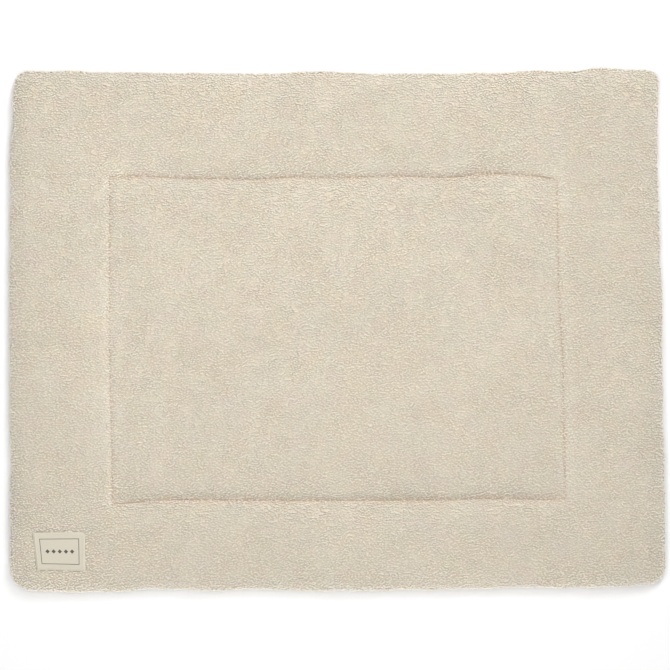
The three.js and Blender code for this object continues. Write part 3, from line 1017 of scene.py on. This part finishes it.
def pile_tree():
    """Geometry Nodes: curls all over the ground of one part, parted at the sewn line and the label."""
    shapes = {"Ground": "Geometry", "Curls": "Collection", "Sewn Line": "Object", "Label": "Object"}
    numbers = {"Part": 0, "Spacing": 0.004, "Lean": 0.3, "Parting": 0.001, "Seed": 0}
    inputs = {**shapes, "Material": "Material", **numbers}
    tree, given, out = new_group("Curly pile", "GeometryNodeTree", inputs, {"Geometry": "Geometry"})

    def named(name, kind="FLOAT"):
        node = add(tree, "GeometryNodeInputNamedAttribute", {"Name": name}, data_type=kind)
        return node.outputs["Attribute"]

    def random(low, high, offset, kind="FLOAT"):
        return chance(tree, maths(tree, "ADD", given["Seed"], float(offset)), low, high, kind)

    def stored(geometry, name, value, kind, domain):
        inputs = {"Geometry": geometry, "Name": name, "Value": value}
        return result(tree, "GeometryNodeStoreNamedAttribute", inputs, data_type=kind, domain=domain)

    inputs = {"Mesh": given["Ground"], "Distance Min": given["Spacing"], "Density Max": 300000.0}
    inputs["Seed"] = given["Seed"]
    scatter = add(tree, "GeometryNodeDistributePointsOnFaces", inputs, distribute_method="POISSON").outputs
    place = result(tree, "GeometryNodeInputPosition")
    x, y, z = numbers_of(tree, place)
    flat = vector_of(tree, x, y)
    parts = {2: named("part", "INT"), 3: given["Part"]}
    elsewhere = result(tree, "FunctionNodeCompare", parts, data_type="INT", operation="NOT_EQUAL")
    inputs = {"Geometry": geometry_of(tree, given["Sewn Line"]), "Sample Position": flat}
    nearest = add(tree, "GeometryNodeProximity", inputs, target_element="EDGES").outputs
    to_line = nearest["Distance"]
    # The curls lie across the short sides of the sewn line, and close over it there
    way = vectors(tree, "NORMALIZE", vectors(tree, "SUBTRACT", nearest["Position"], flat))
    from_long_side = maths(tree, "ABSOLUTE", numbers_of(tree, way)[1])
    share = scaled(tree, from_long_side, 0.9, 0.1)
    parting = times(tree, given["Parting"], share)
    uneven = times(tree, parting, random(0.4, 1.3, 9))
    parted = result(
        tree, "FunctionNodeCompare", {0: to_line, 1: uneven}, data_type="FLOAT", operation="LESS_THAN"
    )
    upwards = {"Ray Direction": (0.0, 0.0, 1.0), "Ray Length": 0.02}
    label = geometry_of(tree, given["Label"])
    covered = add(tree, "GeometryNodeRaycast", {"Target Geometry": label, **upwards}).outputs["Is Hit"]
    either = result(tree, "FunctionNodeBooleanMath", {0: elsewhere, 1: parted}, operation="OR")
    none = result(tree, "FunctionNodeBooleanMath", {0: either, 1: covered}, operation="OR")
    inputs = {"Geometry": scatter["Points"], "Selection": none}
    kept = result(tree, "GeometryNodeDeleteGeometry", inputs, domain="POINT")
    kept = stored(kept, "sewn", maths(tree, "DIVIDE", to_line, share), "FLOAT", "POINT")

    # Curls stand on the ground and lie mostly along the mat's length
    upright = result(tree, "FunctionNodeAlignRotationToVector", {"Vector": scatter["Normal"]}, axis="Z")
    swing = maths(tree, "ADD", random(-0.5, 0.5, 1), random(-0.5, 0.5, 2))
    heading = scaled(tree, maths(tree, "ROUND", random(0.0, 1.0, 3)), math.pi, swing)
    leans = [times(tree, random(-1.0, 1.0, 4 + k), given["Lean"]) for k in (0, 1)]

    # Flatter and evener in some patches than in others
    open_here = open_pile(tree, place)
    loft = scaled(tree, open_here, 0.1, 0.9)
    variety = scaled(tree, open_here, 0.4, 0.6)
    own_tint = times(tree, random(-1.0, 1.0, 8), variety)
    steep = minus(tree, 1.0, numbers_of(tree, scatter["Normal"])[2])
    size = scaled(tree, steep, random(0.0, 0.4, 10), random(0.82, 1.2, 6))

    inputs = {"Collection": given["Curls"], "Separate Children": True, "Reset Children": True}
    curls = result(tree, "GeometryNodeCollectionInfo", inputs)
    inputs = {
        "Points": kept,
        "Instance": curls,
        "Pick Instance": True,
        "Instance Index": random(0, len(CURLS) - 1, 7, "INT"),
        "Rotation": turned(tree, upright, *leans, heading),
        "Scale": vector_of(tree, size, size, times(tree, size, loft)),
    }
    placed = result(tree, "GeometryNodeInstanceOnPoints", inputs)
    counted = stored(placed, "cell", result(tree, "GeometryNodeInputIndex"), "FLOAT", "INSTANCE")
    tinted = stored(counted, "tint", own_tint, "FLOAT", "INSTANCE")
    real = result(tree, "GeometryNodeRealizeInstances", {0: tinted})

    # No curl goes through the floor
    cleared = vector_of(tree, x, y, maths(tree, "MAXIMUM", z, 0.15 * MM))
    lifted = result(tree, "GeometryNodeSetPosition", {"Geometry": real, "Position": cleared})

    # Each curl has a cell of its own on the bake map
    how_many = add(tree, "GeometryNodeAttributeDomainSize", {0: tinted}, component="INSTANCES")
    count = next(s for s in how_many.outputs if s.enabled)
    side = maths(tree, "CEIL", maths(tree, "SQRT", count))
    column = maths(tree, "MODULO", named("cell"), side)
    row = maths(tree, "FLOOR", maths(tree, "DIVIDE", named("cell"), side))
    inner, margin = (0.84, 0.84, 0.0), (0.08, 0.08, 0.0)
    within = vectors(tree, "MULTIPLY_ADD", named("curl_map", "FLOAT_VECTOR"), inner, margin)
    cell = vectors(tree, "ADD", vector_of(tree, column, row), within)
    one_cell = maths(tree, "DIVIDE", 1.0, side)
    mapped = result(tree, "ShaderNodeVectorMath", {0: cell, "Scale": one_cell}, operation="SCALE")
    laid_out = stored(lifted, BAKE_MAP, mapped, "FLOAT2", "CORNER")
    for name in ("cell", "curl_map"):
        laid_out = result(tree, "GeometryNodeRemoveAttribute", {"Geometry": laid_out, "Name": name})
    put_out(tree, laid_out, given["Material"], out)
    return tree


def part_of_face(centres, sewn_low, sewn_high):
    """Which part of the pile each face belongs to, as a number in PILE_PARTS, or -1 for the back."""
    x, y, z = centres.T
    middle = (sewn_low[0] + sewn_high[0]) / 2
    panel = (x > sewn_low[0]) & (x < sewn_high[0]) & (y > sewn_low[1]) & (y < sewn_high[1])
    tests = [z < BACK_BELOW, panel & (x < middle), panel, y >= sewn_high[1], y <= sewn_low[1]]
    return np.select(tests, [-1, 0, 1, 2, 3], 4).astype(np.int32)


class PLAYMAT_OT_pile(bpy.types.Operator):
    """Covers the fleece's ground with curls, in five parts"""

    bl_idname = "playmat.pile"
    bl_label = "Curly pile"

    def execute(self, context):
        settings = context.scene.playmat
        ground = bpy.data.objects["mat_body"].data.copy()
        loop = sewn_loop()
        parts = part_of_face(triples(ground.polygons, "center"), loop.min(0), loop.max(0))
        store(ground, "part", parts, "INT", "FACE")
        line = line_object("sewn_line", loop * (1, 1, 0))
        curls = bpy.data.collections.new("curls")
        for i, row in enumerate(CURLS):
            curls.objects.link(curl_object(f"curl_{i}", *row))
        tree = pile_tree()
        label, material = bpy.data.objects["label_cloth"], pile_material(settings)
        shapes = {"curls": curls, "sewn_line": line, "label": label, "material": material}
        sizes = {"spacing": settings.curl_spacing, "lean": settings.curl_lean, "parting": settings.parting}
        for number, part_name in enumerate(PILE_PARTS):
            holder = plain_object("holder", ground)
            grow = holder.modifiers.new("Pile", "NODES")
            grow.node_group = tree
            set_inputs(grow, part=number, seed=settings.seed, **shapes, **sizes)
            part = baked_down(holder, f"pile_{part_name}")
            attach(part, "root")
        for scrap in (*curls.objects, line):
            bpy.data.objects.remove(scrap)
        bpy.data.collections.remove(curls)
        bpy.data.meshes.remove(ground)
        return {"FINISHED"}


# The stage


PICTURE_SHIFT = (-2.15, -4.9)  # pixels from the mat's middle to the picture's
FLOOR_HALF = 6.0  # metres
LAMPS = (  # name, place and side in metres
    ("key", (1.0, 2.0, 2.05), 1.1),
    ("top", (-0.2, 0.1, 1.35), 1.0),
    ("low", (0.0, -2.5, 0.5), 0.6),
)


class PLAYMAT_OT_stage(bpy.types.Operator):
    """Sets the camera over the mat, the pale floor and the soft light"""

    bl_idname = "playmat.stage"
    bl_label = "Stage"

    def execute(self, context):
        settings = context.scene.playmat_stage
        scene = context.scene
        pixel = settings.view_width / PHOTO_SIDE
        aim = Vector((PICTURE_SHIFT[0] * pixel, PICTURE_SHIFT[1] * pixel, 0.3 * CAD_BOX[1].z))
        camera = bpy.data.objects.new("camera", bpy.data.cameras.new("camera"))
        camera.data.lens = settings.lens
        camera.data.clip_end = 50
        camera.location = aim + Vector((0, 0, settings.view_width * settings.lens / camera.data.sensor_width))
        scene.collection.objects.link(camera)
        scene.camera = camera

        mesh = bpy.data.meshes.new("floor")
        corners = [(x * FLOOR_HALF, y * FLOOR_HALF, -0.2 * MM) for x, y in CORNER_SIGNS]
        mesh.from_pydata(corners, [], [(0, 1, 2, 3)])
        material, _, shader = new_material("floor")
        set_values(shader, {"Base Color": (0.95, 0.95, 0.95, 1), "Roughness": 0.9, "Specular IOR Level": 0.1})
        plain_object("floor", mesh, material)

        for name, place, side in LAMPS:
            light = bpy.data.objects.new(name, bpy.data.lights.new(name, "AREA"))
            light.data.energy = getattr(settings, f"{name}_power")
            light.data.size = side
            light.location = place
            light.rotation_euler = Vector(place).to_track_quat("Z", "Y").to_euler()
            light.visible_camera = False
            scene.collection.objects.link(light)
        world = bpy.data.worlds.new("fill")
        world.use_nodes = True
        sky = world.node_tree.nodes["Background"]
        set_values(sky, {"Color": (1.0, 1.0, 1.0, 1.0), "Strength": settings.sky_strength})
        scene.world = world
        scene.view_settings.view_transform = "Standard"
        return {"FINISHED"}


# The panel and the run

OPERATORS = (PLAYMAT_OT_stage, PLAYMAT_OT_body, PLAYMAT_OT_label, PLAYMAT_OT_quilting, PLAYMAT_OT_pile)


class PLAYMAT_PT_panel(bpy.types.Panel):
    bl_idname = "PLAYMAT_PT_panel"
    bl_label = "Playpen mat"
    bl_space_type = "VIEW_3D"
    bl_region_type = "UI"
    bl_category = "Playpen mat"

    def draw(self, context):
        for settings in (context.scene.playmat, context.scene.playmat_stage):
            box = self.layout.box()
            for name in settings.__annotations__:
                box.prop(settings, name)
        for operator in OPERATORS:
            self.layout.operator(operator.bl_idname)


CLASSES = (MatSettings, StageSettings, *OPERATORS, PLAYMAT_PT_panel)


def register():
    for kind in CLASSES:
        bpy.utils.register_class(kind)
    bpy.types.Scene.playmat = PointerProperty(type=MatSettings)
    bpy.types.Scene.playmat_stage = PointerProperty(type=StageSettings)


def unregister():
    del bpy.types.Scene.playmat_stage
    del bpy.types.Scene.playmat
    for kind in reversed(CLASSES):
        bpy.utils.unregister_class(kind)


def main():
    register()
    soft_fibres()
    woven_cotton()
    for operator in OPERATORS:
        getattr(bpy.ops.playmat, operator.bl_idname.removeprefix("playmat."))()


if __name__ == "__main__":
    main()
